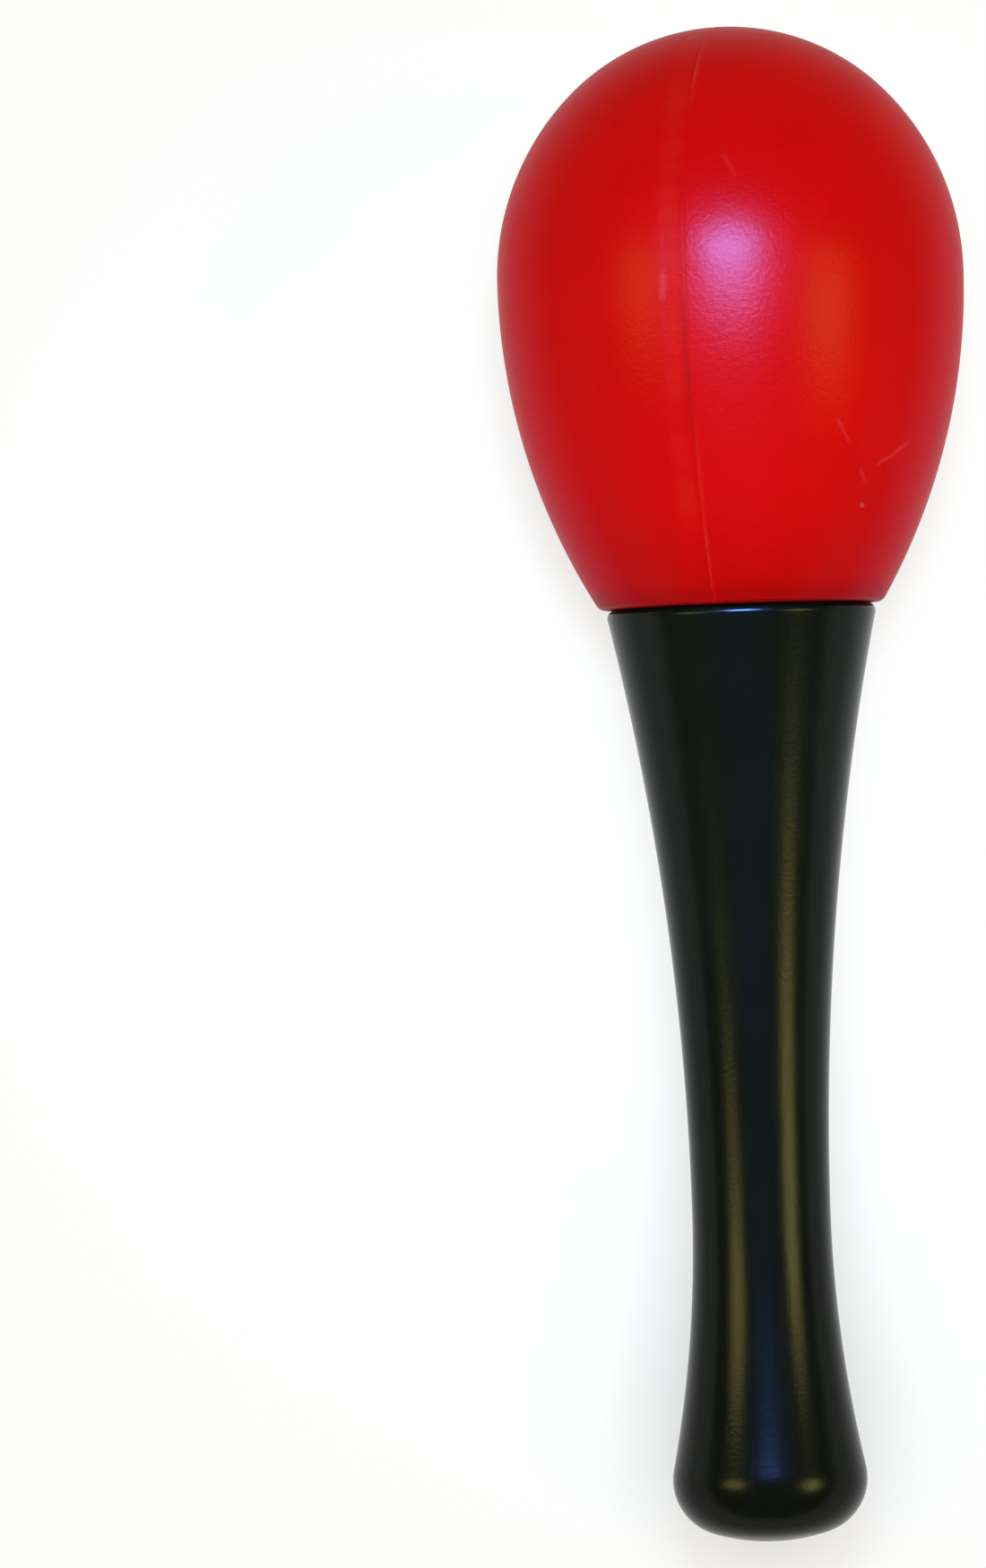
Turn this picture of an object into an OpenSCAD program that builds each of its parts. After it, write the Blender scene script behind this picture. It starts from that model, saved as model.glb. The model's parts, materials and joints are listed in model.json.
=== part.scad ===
// Plastic maraca lying on a table: a hollow head in two halves on a hollow handle, with loose pellets inside.
// Each piece is drawn upright on the maraca's own axis, with z = 0 where the head sits on the handle's rim,
// and is then laid down so that the head's belly and the handle's end both touch the table at z = 0.

/* [Head] */
// Largest diameter of the head
head_d = 70.9; // [62:0.1:80]
// Height of the head from the handle's rim to the crown
head_h = 88; // [82:0.5:100]
// Height of the widest part of the head above the handle's rim
belly_h = 50; // [42:0.5:56]
// Thickness of the head's wall
head_wall = 2; // [1.6:0.1:2.6]
// How far the head's lower edge stands out over the handle's rim
neck_overhang = 0.8; // [0.3:0.1:2]
// Rounding of the head's lower edge
neck_edge_r = 0.8; // [0.3:0.1:1.2]

/* [Seam between the head's halves] */
// Turn of the seam about the axis, away from straight up
seam_turn = 13; // [0:1:60]
// How far the tongue of the left half reaches into the right half
tongue_reach = 1.2; // [0.6:0.1:2]
// Thickness of the tongue
tongue_t = 0.7; // [0.5:0.05:0.9]
// Gap round the tongue in its groove
tongue_gap = 0.1; // [0.05:0.01:0.2]

/* [Handle] */
// Length of the handle from its rim to the tip of its end
handle_len = 142; // [120:1:170]
// Diameter of the rim that the head sits on
rim_d = 41.4; // [38:0.1:46]
// Rounding of the rim's outer edge
rim_edge_r = 0.8; // [0.3:0.1:1]
// Diameter of the waist, where the hand closes
waist_d = 21.1; // [17:0.1:26]
// Height of the waist above the tip of the end
waist_h = 50.2; // [38:0.1:64]
// Largest diameter of the swollen end
end_d = 29.6; // [27:0.1:36]
// Rounding of the end's edge
end_edge_r = 8.4; // [6:0.1:10]
// Radius of the dome that closes the end
end_dome_r = 29.4; // [24:0.1:45]
// Thickness of the handle's wall
handle_wall = 2; // [1.6:0.1:2.6]

/* [Neck] */
// Length of the head's spigot inside the handle
spigot_len = 10; // [6:0.5:16]
// Thickness of the spigot's wall
spigot_wall = 2; // [1.5:0.1:2.5]
// Glue gap between the spigot and the handle
spigot_gap = 0.15; // [0.05:0.01:0.3]

/* [Stopper disc] */
// Thickness of the disc
stopper_t = 2; // [1.2:0.1:3]
// How far the disc's edge reaches into its groove
stopper_bite = 1.8; // [1:0.1:2.4]
// Gap round the disc in its groove
stopper_gap = 0.15; // [0.05:0.01:0.3]
// Thickness of the neck ring under the disc
seat_t = 1.4; // [1:0.1:2.5]
// Thickness of the neck ring over the disc
keeper_t = 1.2; // [0.8:0.1:2.5]

/* [Pellets] */
// Diameter of a pellet
pellet_d = 5; // [3.5:0.1:6]
// Gap round a pellet, to the wall and to the next pellet
pellet_gap = 0.3; // [0.2:0.05:0.6]
// Pellets in the middle row, with two fewer in each row further out
middle_row_pellets = 9; // [5:2:11]
// Rows of pellets on each side of the middle row
rows_each_side = 2; // [1:1:2]

/* [Hidden] */
$fn = 96;
// A curve is drawn in steps of at most this length and this turn
step_len = 3;
step_turn = 5;
// Overlap of shapes that are joined, and reach of shapes that cut
join = 0.5;
reach = head_h + handle_len;

// Head: the outline runs from the neck up the flank, round the shoulder and over the crown
head_r = head_d / 2;
crown_h = head_h - belly_h;
rim_r = rim_d / 2;
neck_r = rim_r + neck_overhang;
// Shoulder and crown are two arcs that meet where the outline has turned by 45 degrees
meet_turn = 45;
arc_shift = (crown_h - head_r) / (sin(meet_turn) + cos(meet_turn) - 1) * sin(meet_turn);
crown_r = crown_h - arc_shift;
shoulder_r = head_r + arc_shift;
flank_r = (belly_h ^ 2 + (head_r - neck_r) ^ 2) / (2 * (head_r - neck_r));
crown_c = [0, head_h - crown_r];
shoulder_c = [head_r - shoulder_r, belly_h];
flank_c = [head_r - flank_r, belly_h];

// Handle: the outline runs from the domed end round its edge, in to the waist and out to the rim
waist_r = waist_d / 2;
end_r = end_d / 2;
end_z = -handle_len;
waist_z = end_z + waist_h;
dome_turn = asin((end_r - end_edge_r) / (end_dome_r - end_edge_r));
dome_c = [0, end_z + end_dome_r];
edge_c = dome_c + (end_dome_r - end_edge_r) * [sin(dome_turn), -cos(dome_turn)];
edge_in = waist_r - end_r + end_edge_r;
edge_drop = waist_z - edge_c[1];
taper_r = (edge_in ^ 2 + edge_drop ^ 2 - end_edge_r ^ 2) / (2 * (end_edge_r - edge_in));
taper_c = [waist_r + taper_r, waist_z];
taper_turn = atan2(taper_c[1] - edge_c[1], taper_c[0] - edge_c[0]);
flare_r = (waist_z ^ 2 + (rim_r - waist_r) ^ 2) / (2 * (rim_r - waist_r));
flare_c = [waist_r + flare_r, waist_z];

// Neck: a ring at the foot of the head holds the stopper disc, and its spigot follows the handle's inside
spigot_inset = handle_wall + spigot_gap;
neck_bore_r = rim_r - spigot_inset - spigot_wall;
stopper_r = neck_bore_r + stopper_bite;
groove_top = seat_t + stopper_t + stopper_gap;
ring_h = groove_top + keeper_t;
tongue_inset = (head_wall - tongue_t) / 2;
tongue_foot = ring_h + tongue_reach;

// Lying down: the common tangent of the head's flank and the end's edge is the table
table_span = flank_c[1] - edge_c[1];
table_rise = (flank_r - end_edge_r) - (head_r - end_r);
lie_turn = asin((flank_r - end_edge_r) / norm([table_span, table_rise])) - atan2(table_rise, table_span);
lie_z = edge_c[0] * cos(lie_turn) + end_edge_r - edge_c[1] * sin(lie_turn);
lie_y = -((crown_c[1] + dome_c[1]) * cos(lie_turn) + crown_r - end_dome_r) / 2;

// Pellets: rows round the axis, side by side in the lowest part of the chamber
pellet_r = pellet_d / 2;
pellet_inset = head_wall + pellet_gap + pellet_r;
pellet_pitch = pellet_d + pellet_gap;
lowest_row = (flank_r - pellet_inset) * lie_turn * PI / 180;
row_numbers = [-rows_each_side:rows_each_side];
// Each pellet is [distance from the axis, angle round it from the lowest line, height]
pellets = [
    for (row = row_numbers)
        let (place = chamber_path(lowest_row + row * pellet_pitch))
        let (in_row = middle_row_pellets - 2 * abs(row))
        let (turn = 2 * asin(pellet_pitch / 2 / place[0]))
        for (i = [0:in_row - 1])
            [place[0], (i - (in_row - 1) / 2) * turn, place[1]]
];
pellet_names = [for (i = [1:len(pellets)]) str("pellet_", i < 10 ? "0" : "", i)];

echo(lie_turn = lie_turn, lie_y = lie_y, lie_z = lie_z, pellets = len(pellets));

// Points of an arc about a centre, from one angle to another
function arc(centre, radius, from, to) =
    let (turn = abs(to - from))
    let (steps = ceil(max(turn / step_turn, turn * PI / 180 * radius / step_len)))
    [for (i = [0:steps]) let (a = from + (to - from) * i / steps) centre + radius * [cos(a), sin(a)]];

// Where a pellet's centre lies along the chamber's wall, measured from the belly down towards the neck
function chamber_path(run) =
    let (centre = run < 0 ? shoulder_c : flank_c)
    let (radius = (run < 0 ? shoulder_r : flank_r) - pellet_inset)
    let (turn = run / radius * 180 / PI)
    centre + radius * [cos(turn), -sin(turn)];

// Points of the handle's flare, set in from its outside, between two heights
function flare(inset, low, high) =
    let (radius = flare_r + inset)
    arc(flare_c, radius, 180 - asin((low - waist_z) / radius), 180 - asin((high - waist_z) / radius));

// Half section of the head above a height, set in from its outside, with its lower edge rounded
module head_outline(inset, low, edge = 0) {
    flank = flank_r - inset;
    foot_turn = asin((belly_h - low - edge) / (flank - edge));
    foot_c = flank_c + (flank - edge) * [cos(foot_turn), -sin(foot_turn)];
    polygon(concat(
        [[0, low]],
        edge > 0 ? arc(foot_c, edge, -90, -foot_turn) : [],
        arc(flank_c, flank, -foot_turn, 0),
        arc(shoulder_c, shoulder_r - inset, 0, meet_turn),
        arc(crown_c, crown_r - inset, meet_turn, 90)
    ));
}

// Half section of the handle up to a height, set in from its outside, with its upper edge rounded
module handle_outline(inset, high, edge = 0) {
    flare_edge = flare_r + inset + edge;
    rim_turn = asin((high - edge - waist_z) / flare_edge);
    rim_c = flare_c + flare_edge * [-cos(rim_turn), sin(rim_turn)];
    polygon(concat(
        arc(dome_c, end_dome_r - inset, -90, dome_turn - 90),
        arc(edge_c, end_edge_r - inset, dome_turn - 90, taper_turn),
        arc(taper_c, taper_r + inset, 180 + taper_turn, 180),
        arc(flare_c, flare_r + inset, 180, 180 - rim_turn),
        edge > 0 ? arc(rim_c, edge, -rim_turn, 90) : [],
        [[0, high]]
    ));
}

// Half section of the head's wall with its neck ring and spigot
module head_section() {
    difference() {
        head_outline(0, 0, neck_edge_r);
        head_outline(head_wall, ring_h);
        translate([0, -join])
            square([neck_bore_r, join + ring_h + join]);
        translate([0, seat_t])
            square([stopper_r + stopper_gap, groove_top - seat_t]);
    }
    inner = flare(spigot_inset + spigot_wall, -spigot_len, join);
    polygon(concat(
        flare(spigot_inset, -spigot_len, join),
        [for (i = [len(inner) - 1:-1:0]) inner[i]]
    ));
}

// Tongue in the middle of the wall, grown by a gap to cut its groove
module tongue(gap) {
    intersection() {
        rotate_extrude()
            difference() {
                head_outline(tongue_inset - gap, ring_h);
                head_outline(tongue_inset + tongue_t + gap, ring_h);
            }
        translate([-join, -reach, tongue_foot - gap])
            cube([join + tongue_reach + gap, 2 * reach, reach]);
    }
}

// One half of the head, on the left (-1) or the right (1) of the seam
module head_half(side) {
    intersection() {
        rotate_extrude()
            head_section();
        translate([side < 0 ? -reach : 0, -reach, -reach])
            cube([reach, 2 * reach, 2 * reach]);
    }
}

// Lays an upright piece down on the table, with the head towards +Y
module laid_down() {
    translate([0, lie_y, lie_z])
        rotate([lie_turn - 90, 0, 0])
            children();
}

module head_shell_left() {
    color("firebrick")
        laid_down()
            rotate(-seam_turn) {
                head_half(-1);
                tongue(0);
            }
}

module head_shell_right() {
    color("red")
        laid_down()
            rotate(-seam_turn)
                difference() {
                    head_half(1);
                    tongue(tongue_gap);
                }
}

module chamber_stopper() {
    color("ivory")
        laid_down()
            translate([0, 0, seat_t])
                cylinder(r = stopper_r, h = stopper_t);
}

module handle() {
    color("black")
        laid_down()
            rotate_extrude()
                difference() {
                    handle_outline(0, 0, rim_edge_r);
                    handle_outline(handle_wall, join);
                }
}

module pellet(place) {
    color("wheat")
        laid_down()
            rotate(90 - place[1])
                translate([place[0], 0, place[2]])
                    sphere(d = pellet_d, $fn = 32);
}

head_shell_left();
head_shell_right();
chamber_stopper();
handle();
for (i = [0:len(pellets) - 1])
    pellet(pellets[i]);
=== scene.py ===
"""Plastic maraca: a satin red head in two halves on a glossy black handle, lying on a pale table."""
import json
import math

import bmesh
import bpy
from mathutils import Matrix, Vector


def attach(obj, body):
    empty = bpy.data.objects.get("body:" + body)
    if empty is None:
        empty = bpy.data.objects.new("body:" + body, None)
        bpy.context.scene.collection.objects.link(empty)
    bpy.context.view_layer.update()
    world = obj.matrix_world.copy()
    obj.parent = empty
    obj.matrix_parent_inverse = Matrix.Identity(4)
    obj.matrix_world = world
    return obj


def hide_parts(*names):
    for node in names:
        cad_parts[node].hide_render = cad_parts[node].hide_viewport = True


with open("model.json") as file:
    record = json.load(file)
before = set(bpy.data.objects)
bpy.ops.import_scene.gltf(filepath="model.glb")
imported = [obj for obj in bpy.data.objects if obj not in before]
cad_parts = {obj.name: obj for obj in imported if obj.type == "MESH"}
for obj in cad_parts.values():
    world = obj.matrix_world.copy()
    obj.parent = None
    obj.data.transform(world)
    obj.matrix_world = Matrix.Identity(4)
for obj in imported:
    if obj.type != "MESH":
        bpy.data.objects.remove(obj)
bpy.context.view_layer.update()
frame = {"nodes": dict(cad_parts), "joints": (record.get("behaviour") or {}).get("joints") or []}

MM = 0.001
QUARTER = math.pi / 2

# The maraca's own axis: zero where the head sits on the handle's rim, and running on to the crown
swirl = frame["joints"][0]
AXIS_FOOT = Vector(swirl["pos_m"])
ALONG = Vector(swirl["axis"]).normalized()
RIGHT = Vector((1, 0, 0))
UP = RIGHT.cross(ALONG)

# Head, in millimetres
HEAD_R = 35.45
HEAD_H = 88.0
BELLY_H = 50.0
HEAD_WALL = 2.0
NECK_OVERHANG = 0.8
MEET_TURN = math.radians(45)
SEAM_TURN = math.radians(-13)

# Handle, in millimetres
HANDLE_LEN = 142.0
RIM_R = 20.7
WAIST_R = 10.55
WAIST_H = 50.2
END_R = 14.8
END_EDGE_R = 8.4
END_DOME_R = 29.4
HANDLE_WALL = 2.0

# Edges where the head meets the handle, in millimetres, a little rounder than the solids' own
NECK_EDGE_R = 1.6
RIM_EDGE_R = 1.2

# How far the smooth outside lies within the solids, whose arcs have flat facets, in millimetres
FACET_INSET = 0.04

# Neck ring and spigot, in millimetres
SPIGOT_LEN = 10.0
SPIGOT_WALL = 2.0
SPIGOT_GAP = 0.15
STOPPER_T = 2.0
STOPPER_BITE = 1.8
STOPPER_GAP = 0.15
SEAT_T = 1.4
KEEPER_T = 1.2

# Arcs of the head's outline, as in the solids
NECK_R = RIM_R + NECK_OVERHANG
CROWN_H = HEAD_H - BELLY_H
ARC_SHIFT = (CROWN_H - HEAD_R) / (math.sin(MEET_TURN) + math.cos(MEET_TURN) - 1) * math.sin(MEET_TURN)
CROWN_R = CROWN_H - ARC_SHIFT
SHOULDER_R = HEAD_R + ARC_SHIFT
FLANK_R = (BELLY_H ** 2 + (HEAD_R - NECK_R) ** 2) / (2 * (HEAD_R - NECK_R))
CROWN_C = (0.0, HEAD_H - CROWN_R)
SHOULDER_C = (HEAD_R - SHOULDER_R, BELLY_H)
FLANK_C = (HEAD_R - FLANK_R, BELLY_H)

# Arcs of the handle's outline, as in the solids
WAIST_Z = WAIST_H - HANDLE_LEN
DOME_TURN = math.asin((END_R - END_EDGE_R) / (END_DOME_R - END_EDGE_R))
DOME_C = (0.0, END_DOME_R - HANDLE_LEN)
EDGE_C = (
    (END_DOME_R - END_EDGE_R) * math.sin(DOME_TURN),
    DOME_C[1] - (END_DOME_R - END_EDGE_R) * math.cos(DOME_TURN),
)
EDGE_IN = WAIST_R - END_R + END_EDGE_R
EDGE_DROP = WAIST_Z - EDGE_C[1]
TAPER_R = (EDGE_IN ** 2 + EDGE_DROP ** 2 - END_EDGE_R ** 2) / (2 * (END_EDGE_R - EDGE_IN))
TAPER_C = (WAIST_R + TAPER_R, WAIST_Z)
TAPER_TURN = math.atan2(TAPER_C[1] - EDGE_C[1], TAPER_C[0] - EDGE_C[0])
FLARE_R = (WAIST_Z ** 2 + (RIM_R - WAIST_R) ** 2) / (2 * (RIM_R - WAIST_R))
FLARE_C = (WAIST_R + FLARE_R, WAIST_Z)

# Neck ring, as in the solids
SPIGOT_INSET = HANDLE_WALL + SPIGOT_GAP
NECK_BORE_R = RIM_R - SPIGOT_INSET - SPIGOT_WALL
GROOVE_R = NECK_BORE_R + STOPPER_BITE + STOPPER_GAP
GROOVE_TOP = SEAT_T + STOPPER_T + STOPPER_GAP
RING_H = GROOVE_TOP + KEEPER_T

# Meshes: spacing of the outlines' points in millimetres and as a turn, how close two points are one,
# columns round the axis, and the turn from which an edge is sharp
OUTSIDE_STEP = 1.0
INSIDE_STEP = 2.0
MOST_STEP_TURN = math.radians(4)
SAME_PLACE = 1e-6
HALF_COLUMNS = 88
HANDLE_COLUMNS = 192
SHARP_TURN = math.radians(38)


def on_maraca(out, along, turn):
    """The place, in metres, at a distance from the axis, along it and turned about it from straight up."""
    return AXIS_FOOT + MM * (along * ALONG + out * (math.cos(turn) * UP + math.sin(turn) * RIGHT))


def arc(centre, radius, start, end, step=OUTSIDE_STEP):
    """Points (out, along) on an arc, each with the direction that faces away from the arc's centre."""
    sweep = abs(end - start)
    count = max(1, math.ceil(sweep / MOST_STEP_TURN), math.ceil(sweep * radius / step))
    points = []
    for i in range(count + 1):
        turn = start + (end - start) * i / count
        facing = (math.cos(turn), math.sin(turn))
        points.append((centre[0] + radius * facing[0], centre[1] + radius * facing[1], facing))
    return points


def flare(inset, low, high):
    """Points on a curve set in from the outside of the handle's flare, between two heights."""
    radius = FLARE_R + inset
    start = math.pi - math.asin((low - WAIST_Z) / radius)
    end = math.pi - math.asin((high - WAIST_Z) / radius)
    return arc(FLARE_C, radius, start, end, INSIDE_STEP)


def without_repeats(points):
    """The points with those dropped that lie on the one before."""
    kept = []
    for out, along, facing in points:
        if not kept or math.hypot(out - kept[-1][0], along - kept[-1][1]) > SAME_PLACE:
            kept.append((max(out, 0.0), along, facing))
    return kept


def head_outline():
    """The head's closed half section, and how many of its first points are on the outside."""
    flank = FLANK_R - NECK_EDGE_R
    foot_turn = math.asin((BELLY_H - NECK_EDGE_R) / flank)
    foot_c = (FLANK_C[0] + flank * math.cos(foot_turn), NECK_EDGE_R)
    outside = without_repeats(
        arc(foot_c, NECK_EDGE_R - FACET_INSET, -QUARTER, -foot_turn)
        + arc(FLANK_C, FLANK_R - FACET_INSET, -foot_turn, 0)
        + arc(SHOULDER_C, SHOULDER_R - FACET_INSET, 0, MEET_TURN)
        + arc(CROWN_C, CROWN_R - FACET_INSET, MEET_TURN, QUARTER)
    )
    inner_flank = FLANK_R - HEAD_WALL
    ring_turn = math.asin((BELLY_H - RING_H) / inner_flank)
    inside = (
        arc(CROWN_C, CROWN_R - HEAD_WALL, QUARTER, MEET_TURN, INSIDE_STEP)
        + arc(SHOULDER_C, SHOULDER_R - HEAD_WALL, MEET_TURN, 0, INSIDE_STEP)
        + arc(FLANK_C, inner_flank, 0, -ring_turn, INSIDE_STEP)
    )
    corners = (
        (NECK_BORE_R, RING_H),
        (NECK_BORE_R, GROOVE_TOP),
        (GROOVE_R, GROOVE_TOP),
        (GROOVE_R, SEAT_T),
        (NECK_BORE_R, SEAT_T),
        (NECK_BORE_R, SEAT_T / 2),
    )
    ring = [(out, along, (0, 0)) for out, along in corners]
    spigot = flare(SPIGOT_INSET + SPIGOT_WALL, 0, -SPIGOT_LEN) + flare(SPIGOT_INSET, -SPIGOT_LEN, 0)
    return outside + without_repeats(inside + ring + spigot), len(outside)


def handle_outline():
    """The handle's half section from the tip of its end, over its rim and back to the tip inside."""
    flare_edge = FLARE_R + RIM_EDGE_R
    rim_turn = math.asin((-RIM_EDGE_R - WAIST_Z) / flare_edge)
    rim_c = (FLARE_C[0] - flare_edge * math.cos(rim_turn), -RIM_EDGE_R)
    outside = (
        arc(DOME_C, END_DOME_R - FACET_INSET, -QUARTER, DOME_TURN - QUARTER)
        + arc(EDGE_C, END_EDGE_R - FACET_INSET, DOME_TURN - QUARTER, TAPER_TURN)
        + arc(TAPER_C, TAPER_R + FACET_INSET, math.pi + TAPER_TURN, math.pi)
        + arc(FLARE_C, FLARE_R + FACET_INSET, math.pi, math.pi - rim_turn)
        + arc(rim_c, RIM_EDGE_R - FACET_INSET, -rim_turn, QUARTER)
    )
    inside = (
        flare(HANDLE_WALL, 0, WAIST_Z)
        + arc(TAPER_C, TAPER_R + HANDLE_WALL, math.pi, math.pi + TAPER_TURN, INSIDE_STEP)
        + arc(EDGE_C, END_EDGE_R - HANDLE_WALL, TAPER_TURN, DOME_TURN - QUARTER, INSIDE_STEP)
        + arc(DOME_C, END_DOME_R - HANDLE_WALL, DOME_TURN - QUARTER, -QUARTER, INSIDE_STEP)
    )
    return without_repeats(outside + inside)


# Seam, in millimetres and, for the turn, radians: beside the parting line the left half was scraped to
# a flat that slopes away from it, and a thin flash stands on the right half's edge, near the neck and
# near the crown
BAND_W = 4.2
BAND_STEPS = (
    0, 0.05, 0.1, 0.16, 0.24, 0.35, 0.5, 0.8, 1.2, 1.7, 2.2, 2.6, 2.85, 3.0, 3.15, 3.35, 3.6, BAND_W,
)
BAND_MOST_TURN = 0.32
LINE_DEPTH = 0.02
LINE_W = 0.2
SCRAPE_W = 3.0
SCRAPE_DEPTH = 0.1
RISER_W = 1.2
FLASH_H = 0.10
FLASH_W = 0.45
FLASH_TOP = 30.0
CROWN_FLASH_FROM = 72.0
CROWN_FLASH_RISE = 6.0
FOOT_FADE = 1.5
POLE_FADE = 12.0

# Dirt beside the parting line, and painted shade towards the joint with the handle, in millimetres
GRIME_H = 37.0
GRIME_REACH = 15.0
GRIME_W = 0.8
NECK_SHADE_NEAR = 2.2
NECK_SHADE_REACH = 9.0

# Shares of the wear and painted shade: the least of each along the seam, the dirt away from the head's
# middle, the painted shade that spreads above the joint, and how scraped the flat looks
FLASH_LEAST = 0.35
SCRAPE_LEAST = 0.4
GRIME_LEAST = 0.5
GRIME_ELSEWHERE = 0.1
NECK_SHADE_SPREAD = 0.4
FLAT_SCRAPED = 0.15

# Unevenness along the seam: each wave's pace per millimetre and its share of the phase
UNEVEN_WAVES = ((0.113, 2.1), (0.31, 1.0), (0.73, 1.0), (1.9, 3.7))
UNEVEN_CALM = 5
FLASH_PHASE = 0.7
SCRAPE_PHASE = 1.9
GRIME_PHASE = 2.6
FLAT_PHASE = 3.3


def clamped(value):
    """The value held between 0 and 1."""
    return min(max(value, 0.0), 1.0)


def bell(distance, width):
    """1 at no distance, fading smoothly over about a width."""
    return math.exp(-(distance / width) ** 2)


def uneven(along, phase):
    """A change between 0 and 1 along the seam, as hand work leaves it."""
    waves = [math.sin(along * pace + share * phase) for pace, share in UNEVEN_WAVES]
    return clamped(0.5 + sum(waves) / UNEVEN_CALM)


def varied(least, along, phase):
    """A share that changes along the seam between a least value and 1."""
    return least + (1 - least) * uneven(along, phase)


def flash(away, along):
    """How much of the flash is left at a distance from the parting line, from 0 to 1."""
    near_neck = clamped(1 - along / FLASH_TOP)
    near_crown = clamped((along - CROWN_FLASH_FROM) / CROWN_FLASH_RISE)
    return bell(away, FLASH_W) * (near_neck + near_crown) * varied(FLASH_LEAST, along, FLASH_PHASE)


def seam_relief(side, away, along):
    """How far the outside stands out, in millimetres, at a distance from the parting line."""
    line = -LINE_DEPTH * bell(away, LINE_W)
    if side > 0:
        return line + FLASH_H * flash(away, along)
    depth = SCRAPE_DEPTH * varied(SCRAPE_LEAST, along, SCRAPE_PHASE)
    if away > SCRAPE_W:
        return line - depth * clamped(1 - (away - SCRAPE_W) / RISER_W)
    below_curve = away * (SCRAPE_W - away) / (2 * HEAD_R)
    return line - depth * away / SCRAPE_W - below_curve


def grime(away, along):
    """How much dirt is left beside the parting line, which is most round the head's middle, from 0 to 1."""
    height_share = GRIME_ELSEWHERE + (1 - GRIME_ELSEWHERE) * bell(along - GRIME_H, GRIME_REACH)
    return bell(away, GRIME_W) * height_share * varied(GRIME_LEAST, along, GRIME_PHASE)


def neck_painted_shade(along):
    """How much painted shade darkens the head towards the joint with the handle, from 0 to 1."""
    return clamped(bell(along, NECK_SHADE_NEAR) + NECK_SHADE_SPREAD * bell(along, NECK_SHADE_REACH))


def scraped(side, away, along):
    """How scraped the surface is, up to 1, or how dirty, with painted shade towards the handle, down to -1.
    """
    if side > 0:
        return flash(away, along) - neck_painted_shade(along)
    flat = clamped((SCRAPE_W + RISER_W - away) / RISER_W)
    scrape = FLAT_SCRAPED * flat * uneven(along, FLAT_PHASE)
    return scrape - max(grime(away, along), neck_painted_shade(along))


def columns(out):
    """Each column's turn within a half, and its distance from the nearer parting line."""
    band = min(BAND_W / max(out, SAME_PLACE), BAND_MOST_TURN)
    near = [(step / BAND_W * band, step) for step in BAND_STEPS]
    middle = [(band + (math.pi - 2 * band) * i / HALF_COLUMNS, BAND_W) for i in range(1, HALF_COLUMNS)]
    return near + middle + [(math.pi - turn, away) for turn, away in reversed(near)]


def add_pole(shape, grid, along):
    """One vertex on the axis, which all columns of a grid share."""
    pole = shape.verts.new(on_maraca(0, along, 0))
    for column in grid:
        column.append(pole)


def skin(shape, grid):
    """Faces between neighbouring columns of a grid of vertices, which may share poles."""
    for left, right in zip(grid, grid[1:]):
        for i in range(len(left) - 1):
            corners = [left[i], right[i], right[i + 1], left[i + 1]]
            unique = [vert for k, vert in enumerate(corners) if vert not in corners[:k]]
            if len(unique) > 2:
                shape.faces.new(unique)


def finish_mesh(name, shape, body, node, material):
    """Turns a bmesh into a smooth piece that rides on a body and stands for a solid."""
    bmesh.ops.recalc_face_normals(shape, faces=shape.faces)
    mesh = bpy.data.meshes.new(name)
    shape.to_mesh(mesh)
    shape.free()
    mesh.polygons.foreach_set("use_smooth", [True] * len(mesh.polygons))
    mesh.set_sharp_from_angle(angle=SHARP_TURN)
    mesh.materials.append(material)
    piece = bpy.data.objects.new(name, mesh)
    bpy.context.scene.collection.objects.link(piece)
    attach(piece, body)
    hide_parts(node)


def head_half(side, name, node, material):
    """One half of the head as a closed shell, on the left (-1) or the right (1) of the seam."""
    outline, outside_count = head_outline()
    shape = bmesh.new()
    # Each vertex's scrape, its seam dirt and the painted shade towards the joint with the handle
    scrape_dirt_and_shade_layer = shape.verts.layers.float.new("scrape")
    grid = [[] for _ in columns(HEAD_R)]
    for i, (out, along, facing) in enumerate(outline):
        if out < SAME_PLACE:
            add_pole(shape, grid, along)
            continue
        fade = clamped(along / FOOT_FADE) * clamped(out / POLE_FADE) if i < outside_count else 0.0
        for column, (turn, away) in zip(grid, columns(out)):
            relief = fade * seam_relief(side, away, along) if away < BAND_W else 0.0
            spot = on_maraca(out + relief * facing[0], along + relief * facing[1], SEAM_TURN + side * turn)
            vert = shape.verts.new(spot)
            if fade > 0:
                vert[scrape_dirt_and_shade_layer] = scraped(side, away, along)
            column.append(vert)
    for column in grid:
        column.append(column[0])
    skin(shape, grid)
    seam_faces = [shape.faces.new(grid[0][:-1]), shape.faces.new(grid[-1][:-1])]
    for face in seam_faces:
        face.normal_update()
    bmesh.ops.triangulate(shape, faces=seam_faces, ngon_method="EAR_CLIP")
    finish_mesh(name, shape, "shaker", node, material)


def handle_piece(material):
    """The handle as one closed hollow turning."""
    shape = bmesh.new()
    grid = [[] for _ in range(HANDLE_COLUMNS)]
    for out, along, _ in handle_outline():
        if out < SAME_PLACE:
            add_pole(shape, grid, along)
            continue
        for k, column in enumerate(grid):
            column.append(shape.verts.new(on_maraca(out, along, 2 * math.pi * k / HANDLE_COLUMNS)))
    skin(shape, grid + [grid[0]])
    finish_mesh("handle_moulding", shape, "shaker", "handle", material)


# The Mix node has its socket names once for each kind of data, so its colour sockets go by number
MIX_FACTOR = 0
MIX_FIRST = 6
MIX_SECOND = 7
MIX_RESULT = 2


def add(tree, kind, inputs=None, **settings):
    """A node with its settings, whose inputs are values or other nodes' outputs."""
    node = tree.nodes.new(kind)
    for key, value in settings.items():
        setattr(node, key, value)
    for name, value in (inputs or {}).items():
        socket = node.inputs[name]
        if isinstance(value, bpy.types.NodeSocket):
            tree.links.new(value, socket)
        else:
            socket.default_value = value
    return node


def math_of(tree, operation, first, second, clamp=False):
    """One Math node's result."""
    node = add(tree, "ShaderNodeMath", {0: first, 1: second}, operation=operation, use_clamp=clamp)
    return node.outputs[0]


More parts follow.
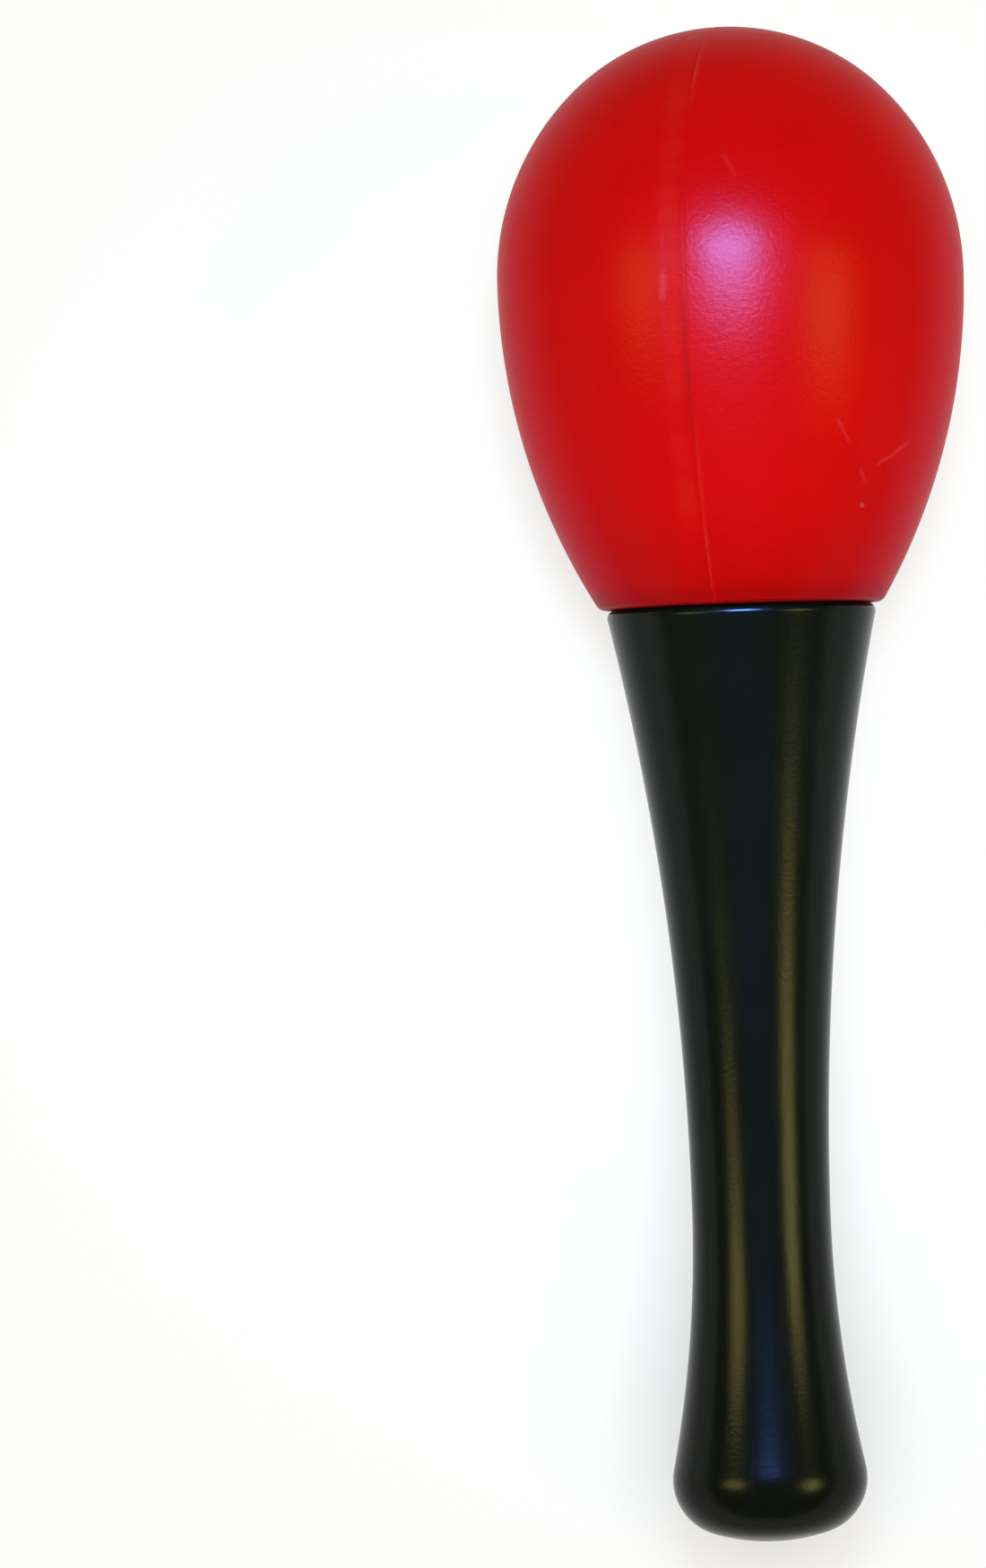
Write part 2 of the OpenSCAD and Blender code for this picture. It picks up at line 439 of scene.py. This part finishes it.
def vector_of(tree, operation, inputs, result="Vector"):
    """One Vector Math node's result, a vector or a value."""
    return add(tree, "ShaderNodeVectorMath", inputs, operation=operation).outputs[result]


def mix_of(tree, factor, first, second):
    """A colour between two colours."""
    inputs = {MIX_FACTOR: factor, MIX_FIRST: first, MIX_SECOND: second}
    return add(tree, "ShaderNodeMix", inputs, data_type="RGBA").outputs[MIX_RESULT]


def ranged(tree, value, low, high, to_low, to_high, **settings):
    """A value moved from one range to another, and held there."""
    inputs = {"Value": value, "From Min": low, "From Max": high, "To Min": to_low, "To Max": to_high}
    return add(tree, "ShaderNodeMapRange", inputs, **settings).outputs[0]


def noise(tree, place, size, detail=2.0, roughness=0.5, result=0):
    """Noise whose spots are about a size in millimetres, as a value or as a colour."""
    inputs = {"Vector": place, "Scale": 1 / (size * MM), "Detail": detail, "Roughness": roughness}
    return add(tree, "ShaderNodeTexNoise", inputs).outputs[result]


def bump(tree, height, strength, depth, under=None):
    """A surface normal tilted by a height of up to a depth in millimetres, on top of another normal."""
    inputs = {"Strength": strength, "Distance": depth * MM, "Height": height}
    if under is not None:
        inputs["Normal"] = under
    return add(tree, "ShaderNodeBump", inputs).outputs[0]


def new_material(name):
    """An empty material with its tree, and the place on the surface in metres."""
    material = bpy.data.materials.new(name)
    material.use_nodes = True
    tree = material.node_tree
    tree.nodes.clear()
    place = add(tree, "ShaderNodeTexCoord").outputs["Object"]
    return material, tree, place


# Plastics: the stretches of the noise that are used, the refraction, the Layer Weight node's even blend,
# and how far the surface turns from the viewer, from 0 in front to 1 at the rim, where gloss and
# roughness start to change and where the roughness is full
CLOUD_RANGE = (0.3, 0.7)
SPECK_RANGE = (0.35, 0.75)
PLASTIC_IOR = 1.5
EVEN_BLEND = 0.5
FRONT = 0.02
ROUGH_RIM = 0.75


def facing_away(tree):
    """0 where the surface faces the viewer and 1 at its rim."""
    return add(tree, "ShaderNodeLayerWeight", {"Blend": EVEN_BLEND}).outputs["Facing"]


def gloss(tree, in_front, at_rim, rim):
    """How much the surface mirrors: less towards its rim, where a grained skin shades itself."""
    return ranged(tree, facing_away(tree), FRONT, rim, in_front, at_rim)


def end_material(tree, colour, roughness, normal, mirror):
    """The plastic's shader, fed with all that was made for it."""
    inputs = {
        "Base Color": colour,
        "Roughness": roughness,
        "Normal": normal,
        "Specular IOR Level": mirror,
        "IOR": PLASTIC_IOR,
    }
    shader = add(tree, "ShaderNodeBsdfPrincipled", inputs).outputs[0]
    add(tree, "ShaderNodeOutputMaterial", {"Surface": shader})


# Marks on the head: where each starts and ends as (height along the axis, turn in degrees), then its
# half width in millimetres and its strength
HEAD_MARKS = (
    ((48.3, -18.4), (45.0, -18.7), 0.8, 0.22),
    ((65.7, -2.9), (62.6, -0.3), 0.6, 0.06),
    ((23.1, 52.3), (19.9, 41.1), 0.5, 0.2),
    ((26.3, 25.7), (23.5, 29.3), 0.45, 0.12),
    ((19.0, 35.0), (17.2, 38.2), 0.45, 0.13),
    ((14.0, 38.4), (13.8, 38.9), 0.45, 0.7),
)

# How ragged the marks are: the size of the raggedness and how far it shifts them, in millimetres
RAGGED_SIZE = 1.2
RAGGED_SHIFT = 0.9
NOISE_MEAN = (0.5, 0.5, 0.5)

# Red plastic: linear colours, and how much of each lies over the one before
HEAD_DARK = (0.68, 0.0004, 0.0001, 1)
HEAD_LIGHT = (0.75, 0.0010, 0.0002, 1)
HEAD_SPECK = (0.76, 0.0030, 0.0006, 1)
# The dark red of the seam's dirt and of the painted shade towards the joint with the handle
HEAD_DIRT_AND_SHADE = (0.30, 0.0005, 0.0002, 1)
HEAD_SCRAPED = (0.82, 0.040, 0.008, 1)
HEAD_SCUFFED = (0.82, 0.13, 0.08, 1)
SPECK_SHARE = 0.25
# How much of that dark red lies over, for the dirt and the painted shade alike
DIRT_AND_SHADE_SHARE = 0.55
SCRAPED_SHARE = 0.7
SCUFFED_SHARE = 0.7

# Red plastic: sizes of its noise in millimetres
HEAD_CLOUD_SIZE = 22
HEAD_SPECK_SIZE = 0.9
HEAD_GRAIN_SIZE = 0.7
HEAD_SWELL_SIZE = 18

# Red plastic: its roughness and what wear and the rim add to it, its gloss (in front, at the rim, and
# the turn from the viewer where the rim's begins), and its bumps (strength, depth in millimetres)
HEAD_ROUGHNESS = (0.285, 0.32)
SCRAPED_ROUGHER = 0.08
SCUFFED_ROUGHER = 0.2
RIM_ROUGHER = 0.1
HEAD_GLOSS = (0.135, 0.03, 0.35)
HEAD_SWELL_BUMP = (0.5, 0.3)
HEAD_GRAIN_BUMP = (0.4, 0.12)
HEAD_MARK_BUMP = (0.3, 0.08)


def head_radius(along):
    """Distance from the axis to the head's outside at a height."""
    if along < BELLY_H:
        return FLANK_C[0] + math.sqrt(FLANK_R ** 2 - (BELLY_H - along) ** 2)
    if along < BELLY_H + SHOULDER_R * math.sin(MEET_TURN):
        return SHOULDER_C[0] + math.sqrt(SHOULDER_R ** 2 - (along - BELLY_H) ** 2)
    return math.sqrt(max(CROWN_R ** 2 - (along - CROWN_C[1]) ** 2, 0.0))


def on_head(along, degrees):
    """A place on the head's outside."""
    return on_maraca(head_radius(along), along, math.radians(degrees))


def near_line(tree, place, start, end, half_width):
    """1 on a short line between two places, falling to 0 at its half width."""
    across = end - start
    offset = vector_of(tree, "SUBTRACT", {0: place, 1: start})
    progress = vector_of(tree, "DOT_PRODUCT", {0: offset, 1: across}, "Value")
    share = math_of(tree, "DIVIDE", progress, across.length_squared, clamp=True)
    foot = vector_of(tree, "SCALE", {0: across, "Scale": share})
    gap = vector_of(tree, "DISTANCE", {0: offset, 1: foot}, "Value")
    return ranged(tree, gap, 0.0, half_width, 1.0, 0.0)


def head_marks(tree, place):
    """How scuffed the head is, from 0 to 1."""
    ragged = noise(tree, place, RAGGED_SIZE, result="Color")
    shift = vector_of(tree, "SUBTRACT", {0: ragged, 1: NOISE_MEAN})
    shift = vector_of(tree, "SCALE", {0: shift, "Scale": RAGGED_SHIFT * MM})
    worn_place = vector_of(tree, "ADD", {0: place, 1: shift})
    marks = 0.0
    for start, end, half_width, strength in HEAD_MARKS:
        mark = near_line(tree, worn_place, on_head(*start), on_head(*end), half_width * MM)
        marks = math_of(tree, "MAXIMUM", marks, math_of(tree, "MULTIPLY", mark, strength))
    return marks


def head_colour(tree, place, cloud, dirt_and_shade, scrape, marks):
    """Clouded and speckled red, with the dirt, the painted shade near the handle, the scraped seam and the
    scuffs over it.
    """
    speck = noise(tree, place, HEAD_SPECK_SIZE)
    colour = mix_of(tree, ranged(tree, cloud, *CLOUD_RANGE, 0.0, 1.0), HEAD_DARK, HEAD_LIGHT)
    colour = mix_of(tree, ranged(tree, speck, *SPECK_RANGE, 0.0, SPECK_SHARE), colour, HEAD_SPECK)
    # Seam dirt, and painted shade towards the joint with the handle
    colour = mix_of(tree, dirt_and_shade, colour, HEAD_DIRT_AND_SHADE)
    colour = mix_of(tree, math_of(tree, "MULTIPLY", scrape, SCRAPED_SHARE), colour, HEAD_SCRAPED)
    return mix_of(tree, math_of(tree, "MULTIPLY", marks, SCUFFED_SHARE), colour, HEAD_SCUFFED)


def head_roughness(tree, cloud, scrape, marks):
    """Satin, and rougher where it is worn and towards the rim."""
    rim = ranged(tree, facing_away(tree), FRONT, ROUGH_RIM, 0.0, 1.0, interpolation_type="SMOOTHSTEP")
    roughness = ranged(tree, cloud, *CLOUD_RANGE, *HEAD_ROUGHNESS)
    for share, rougher in ((scrape, SCRAPED_ROUGHER), (marks, SCUFFED_ROUGHER), (rim, RIM_ROUGHER)):
        roughness = math_of(tree, "ADD", roughness, math_of(tree, "MULTIPLY", share, rougher))
    return roughness


def head_normal(tree, place, marks):
    """Slow swells, a fine grain and the scuffs' relief."""
    normal = bump(tree, noise(tree, place, HEAD_SWELL_SIZE, detail=1.0), *HEAD_SWELL_BUMP)
    grain = noise(tree, place, HEAD_GRAIN_SIZE, detail=3.0, roughness=0.6)
    normal = bump(tree, grain, *HEAD_GRAIN_BUMP, under=normal)
    return bump(tree, marks, *HEAD_MARK_BUMP, under=normal)


def head_material():
    """Satin red plastic: clouded pigment, fine grain, a scraped seam, some dirt, painted shade near the
    handle and a few scuffs.
    """
    material, tree, place = new_material("satin_red_plastic")
    cloud = noise(tree, place, HEAD_CLOUD_SIZE, detail=3.0)
    marks = head_marks(tree, place)
    # The scrape attribute: scrape above 0, and seam dirt with painted shade towards the handle below 0
    wear_and_shade = add(tree, "ShaderNodeAttribute", attribute_name="scrape").outputs["Fac"]
    dirt_and_shade = math_of(tree, "MULTIPLY", wear_and_shade, -DIRT_AND_SHADE_SHARE, clamp=True)
    scrape = math_of(tree, "MAXIMUM", wear_and_shade, 0.0)
    colour = head_colour(tree, place, cloud, dirt_and_shade, scrape, marks)
    roughness = head_roughness(tree, cloud, scrape, marks)
    end_material(tree, colour, roughness, head_normal(tree, place, marks), gloss(tree, *HEAD_GLOSS))
    return material


# Black plastic, in the same terms; its drag lines are stretched along the handle
HANDLE_DARK = (0.0016, 0.0026, 0.0006, 1)
HANDLE_LIGHT = (0.0028, 0.0040, 0.0010, 1)
HANDLE_CLOUD_SIZE = 18
HANDLE_GRAIN_SIZE = 0.6
DRAG_SIZE = 0.7
DRAG_STRETCH = (1.0, 0.04, 1.0)
HANDLE_ROUGHNESS = (0.23, 0.25)
DRAG_ROUGHER = (-0.02, 0.015)
HANDLE_GLOSS = (0.25, 0.08, 0.4)
HANDLE_GRAIN_BUMP = (0.3, 0.06)
DRAG_BUMP = (0.15, 0.05)


def handle_material():
    """Black plastic with a soft gloss: faint drag lines along it and a fine grain."""
    material, tree, place = new_material("gloss_black_plastic")
    cloud = noise(tree, place, HANDLE_CLOUD_SIZE, detail=3.0)
    grain = noise(tree, place, HANDLE_GRAIN_SIZE, detail=3.0, roughness=0.6)
    stretched = add(tree, "ShaderNodeMapping", {"Vector": place, "Scale": DRAG_STRETCH}).outputs[0]
    drag = noise(tree, stretched, DRAG_SIZE, detail=3.0, roughness=0.6)
    colour = mix_of(tree, ranged(tree, cloud, *CLOUD_RANGE, 0.0, 1.0), HANDLE_DARK, HANDLE_LIGHT)
    roughness = ranged(tree, cloud, *CLOUD_RANGE, *HANDLE_ROUGHNESS)
    roughness = math_of(tree, "ADD", roughness, ranged(tree, drag, *SPECK_RANGE, *DRAG_ROUGHER))
    normal = bump(tree, grain, *HANDLE_GRAIN_BUMP)
    normal = bump(tree, drag, *DRAG_BUMP, under=normal)
    end_material(tree, colour, roughness, normal, gloss(tree, *HANDLE_GLOSS))
    return material


# Plastics sealed inside, in the same terms
STOPPER_DARK = (0.66, 0.62, 0.52, 1)
STOPPER_LIGHT = (0.78, 0.74, 0.64, 1)
STOPPER_CLOUD_SIZE = 8
STOPPER_ROUGHNESS = (0.5, 0.6)
PELLET_DARK = (0.62, 0.46, 0.20, 1)
PELLET_LIGHT = (0.80, 0.68, 0.40, 1)
PELLET_CLOUD_SIZE = 3
PELLET_ROUGHNESS = (0.3, 0.45)
INNER_GRAIN_SIZE = 0.4
INNER_GRAIN_BUMP = (0.2, 0.05)
INNER_GLOSS = 0.5


def inner_material(name, dark, light, cloud_size, roughness_range):
    """Plain moulded plastic for what is sealed inside, clouded between two colours."""
    material, tree, place = new_material(name)
    cloud = noise(tree, place, cloud_size, detail=3.0)
    colour = mix_of(tree, ranged(tree, cloud, *CLOUD_RANGE, 0.0, 1.0), dark, light)
    roughness = ranged(tree, cloud, *CLOUD_RANGE, *roughness_range)
    normal = bump(tree, noise(tree, place, INNER_GRAIN_SIZE), *INNER_GRAIN_BUMP)
    end_material(tree, colour, roughness, normal, INNER_GLOSS)
    return material


def dress_inside():
    """Materials for the stopper disc and the pellets, whose solids stay as they are."""
    stopper = inner_material(
        "natural_white_plastic", STOPPER_DARK, STOPPER_LIGHT, STOPPER_CLOUD_SIZE, STOPPER_ROUGHNESS
    )
    pellet = inner_material(
        "amber_pellet_plastic", PELLET_DARK, PELLET_LIGHT, PELLET_CLOUD_SIZE, PELLET_ROUGHNESS
    )
    for name, node in frame["nodes"].items():
        if name == "chamber_stopper" or name.startswith("pellet_"):
            node.data.materials.clear()
            node.data.materials.append(stopper if name == "chamber_stopper" else pellet)


# Table, in metres: what it throws back on the maraca, and how it looks in the open and in the shadow
TABLE_HALF = 20.0
TABLE_BOUNCE = (0.75, 0.75, 0.75, 1)
TABLE_FILL = 0.15
TABLE_LIT = (0.13, 0.10, 0.04, 1)
WHITE = (1, 1, 1, 1)
GLOW_IN_OPEN = 0.92
GLOW_IN_SHADOW = 0.38
SHADOW_REACH = 0.018
OPEN_FROM = 0.95


def table_bounce(tree):
    """The table as it lights the maraca: a pale grey with a little light of its own."""
    grey = add(tree, "ShaderNodeBsdfDiffuse", {"Color": TABLE_BOUNCE}).outputs[0]
    fill = add(tree, "ShaderNodeEmission", {"Color": WHITE, "Strength": TABLE_FILL}).outputs[0]
    return add(tree, "ShaderNodeAddShader", {0: grey, 1: fill}).outputs[0]


def table_white(tree):
    """The table as it is seen: a white glow, dimmer under the maraca, and some of the lamps' light."""
    open_share = add(tree, "ShaderNodeAmbientOcclusion", {"Distance": SHADOW_REACH}).outputs["AO"]
    strength = ranged(tree, open_share, 0.0, OPEN_FROM, GLOW_IN_SHADOW, GLOW_IN_OPEN)
    glow = add(tree, "ShaderNodeEmission", {"Color": WHITE, "Strength": strength}).outputs[0]
    lit = add(tree, "ShaderNodeBsdfDiffuse", {"Color": TABLE_LIT}).outputs[0]
    return add(tree, "ShaderNodeAddShader", {0: lit, 1: glow}).outputs[0]


def table_material():
    """A pale table that looks white, directly and in reflections, but keeps the maraca's shadow."""
    material, tree, _ = new_material("pale_table")
    path = add(tree, "ShaderNodeLightPath").outputs
    seen = math_of(tree, "ADD", path["Is Camera Ray"], path["Is Glossy Ray"])
    seen = math_of(tree, "ADD", seen, path["Is Transmission Ray"], clamp=True)
    inputs = {0: seen, 1: table_bounce(tree), 2: table_white(tree)}
    shader = add(tree, "ShaderNodeMixShader", inputs).outputs[0]
    add(tree, "ShaderNodeOutputMaterial", {"Surface": shader})
    return material


def make_floor():
    """The table's wide flat top."""
    mesh = bpy.data.meshes.new("floor")
    corners = [(x * TABLE_HALF, y * TABLE_HALF, 0) for x, y in ((-1, -1), (1, -1), (1, 1), (-1, 1))]
    mesh.from_pydata(corners, [], [(0, 1, 2, 3)])
    mesh.materials.append(table_material())
    floor = bpy.data.objects.new("floor", mesh)
    bpy.context.scene.collection.objects.link(floor)


# Surroundings: their colours along the horizon and overhead, and the heights, as shares of straight up,
# between which one turns into the other
HORIZON = (0.94, 0.94, 0.925, 1)
CEILING = (0.17, 0.165, 0.125, 1)
HORIZON_TOP = 0.08
CEILING_FROM = 0.16


def make_world():
    """White along the horizon, where the table ends, and dim above, like a studio's unlit ceiling."""
    world = bpy.data.worlds.new("studio")
    bpy.context.scene.world = world
    world.use_nodes = True
    tree = world.node_tree
    tree.nodes.clear()
    direction = add(tree, "ShaderNodeTexCoord").outputs["Generated"]
    height = add(tree, "ShaderNodeSeparateXYZ", {0: direction}).outputs["Z"]
    overhead = ranged(tree, height, HORIZON_TOP, CEILING_FROM, 0.0, 1.0)
    colour = mix_of(tree, overhead, HORIZON, CEILING)
    background = add(tree, "ShaderNodeBackground", {"Color": colour, "Strength": 1.0}).outputs[0]
    add(tree, "ShaderNodeOutputWorld", {"Surface": background})


def placing(place, right, up, back):
    """The matrix of a lamp or camera at a place, from its three directions."""
    return Matrix.Translation(place) @ Matrix((right, up, back)).transposed().to_4x4()


# Lamps' colours
COOL = (0.127, 0.32, 1.0)
WARM = (1.0, 0.91, 0.26)


def add_lamp(name, turn, tilt, distance, aim, beam, size, spread, power, colour):
    """An oval area lamp that stands at a distance in metres from a point on the axis, at the height aim.

    Seen from there it lies at a turn about the axis and a tilt towards the crown, in degrees. It points
    at the axis at the height beam.
    """
    turn = math.radians(turn)
    tilt = math.radians(tilt)
    across = math.cos(turn) * UP + math.sin(turn) * RIGHT
    towards = math.cos(tilt) * across + math.sin(tilt) * ALONG
    place = on_maraca(0, aim, 0) + distance * towards
    back = (place - on_maraca(0, beam, 0)).normalized()
    side = ALONG.cross(back).normalized()
    lamp = bpy.data.lights.new(name, "AREA")
    lamp.shape = "ELLIPSE"
    lamp.size = size[0]
    lamp.size_y = size[1]
    lamp.energy = power
    lamp.color = colour
    lamp.spread = math.radians(spread)
    lamp_object = bpy.data.objects.new(name, lamp)
    bpy.context.scene.collection.objects.link(lamp_object)
    lamp_object.matrix_world = placing(place, side, back.cross(side), back)


def make_lights():
    """A small cool key lamp above the head, and two large warm lamps far off to the sides."""
    add_lamp(
        "key", turn=-1.8, tilt=7.2, distance=0.36, aim=52, beam=-20,
        size=(0.165, 0.09), spread=60, power=0.65, colour=COOL,
    )
    add_lamp(
        "warm_left", turn=-46, tilt=1.5, distance=6.0, aim=-25, beam=-25,
        size=(2.9, 1.8), spread=50, power=4.9, colour=WARM,
    )
    add_lamp(
        "warm_right", turn=48, tilt=-3.8, distance=6.0, aim=-25, beam=-25,
        size=(2.6, 2.2), spread=50, power=6.7, colour=WARM,
    )


# The photograph's frame and where the middle of the handle's rim lies in it, in pixels
FRAME_W = 1100
FRAME_H = 1750
RIM_X = 826.7
RIM_Y = 676.9
MM_PER_PIXEL = 0.13618
LEAN = math.radians(1.92)

# Camera: its distance and clipping in metres, and its sensor in millimetres
CAMERA_AWAY = 1.0
CLIP_NEAR = 0.01
CLIP_FAR = 100.0
SENSOR = 36.0


def make_camera():
    """Square to the maraca's axis from above, with the maraca where the photograph has it."""
    camera = bpy.data.cameras.new("camera")
    camera_object = bpy.data.objects.new("camera", camera)
    bpy.context.scene.collection.objects.link(camera_object)
    image_right = math.cos(LEAN) * RIGHT - math.sin(LEAN) * ALONG
    image_up = math.sin(LEAN) * RIGHT + math.cos(LEAN) * ALONG
    scale = MM_PER_PIXEL * MM
    rim_offset = (RIM_X - FRAME_W / 2) * image_right + (FRAME_H / 2 - RIM_Y) * image_up
    middle = AXIS_FOOT - scale * rim_offset
    camera_object.matrix_world = placing(middle + CAMERA_AWAY * UP, image_right, image_up, UP)
    camera.sensor_width = SENSOR
    camera.lens = SENSOR * CAMERA_AWAY / (FRAME_H * scale)
    camera.clip_start = CLIP_NEAR
    camera.clip_end = CLIP_FAR
    bpy.context.scene.camera = camera_object


make_camera()
red = head_material()
head_half(-1, "head_half_left", "head_shell_left", red)
head_half(1, "head_half_right", "head_shell_right", red)
handle_piece(handle_material())
dress_inside()
make_floor()
make_world()
make_lights()
bpy.context.scene.view_settings.view_transform = "Standard"
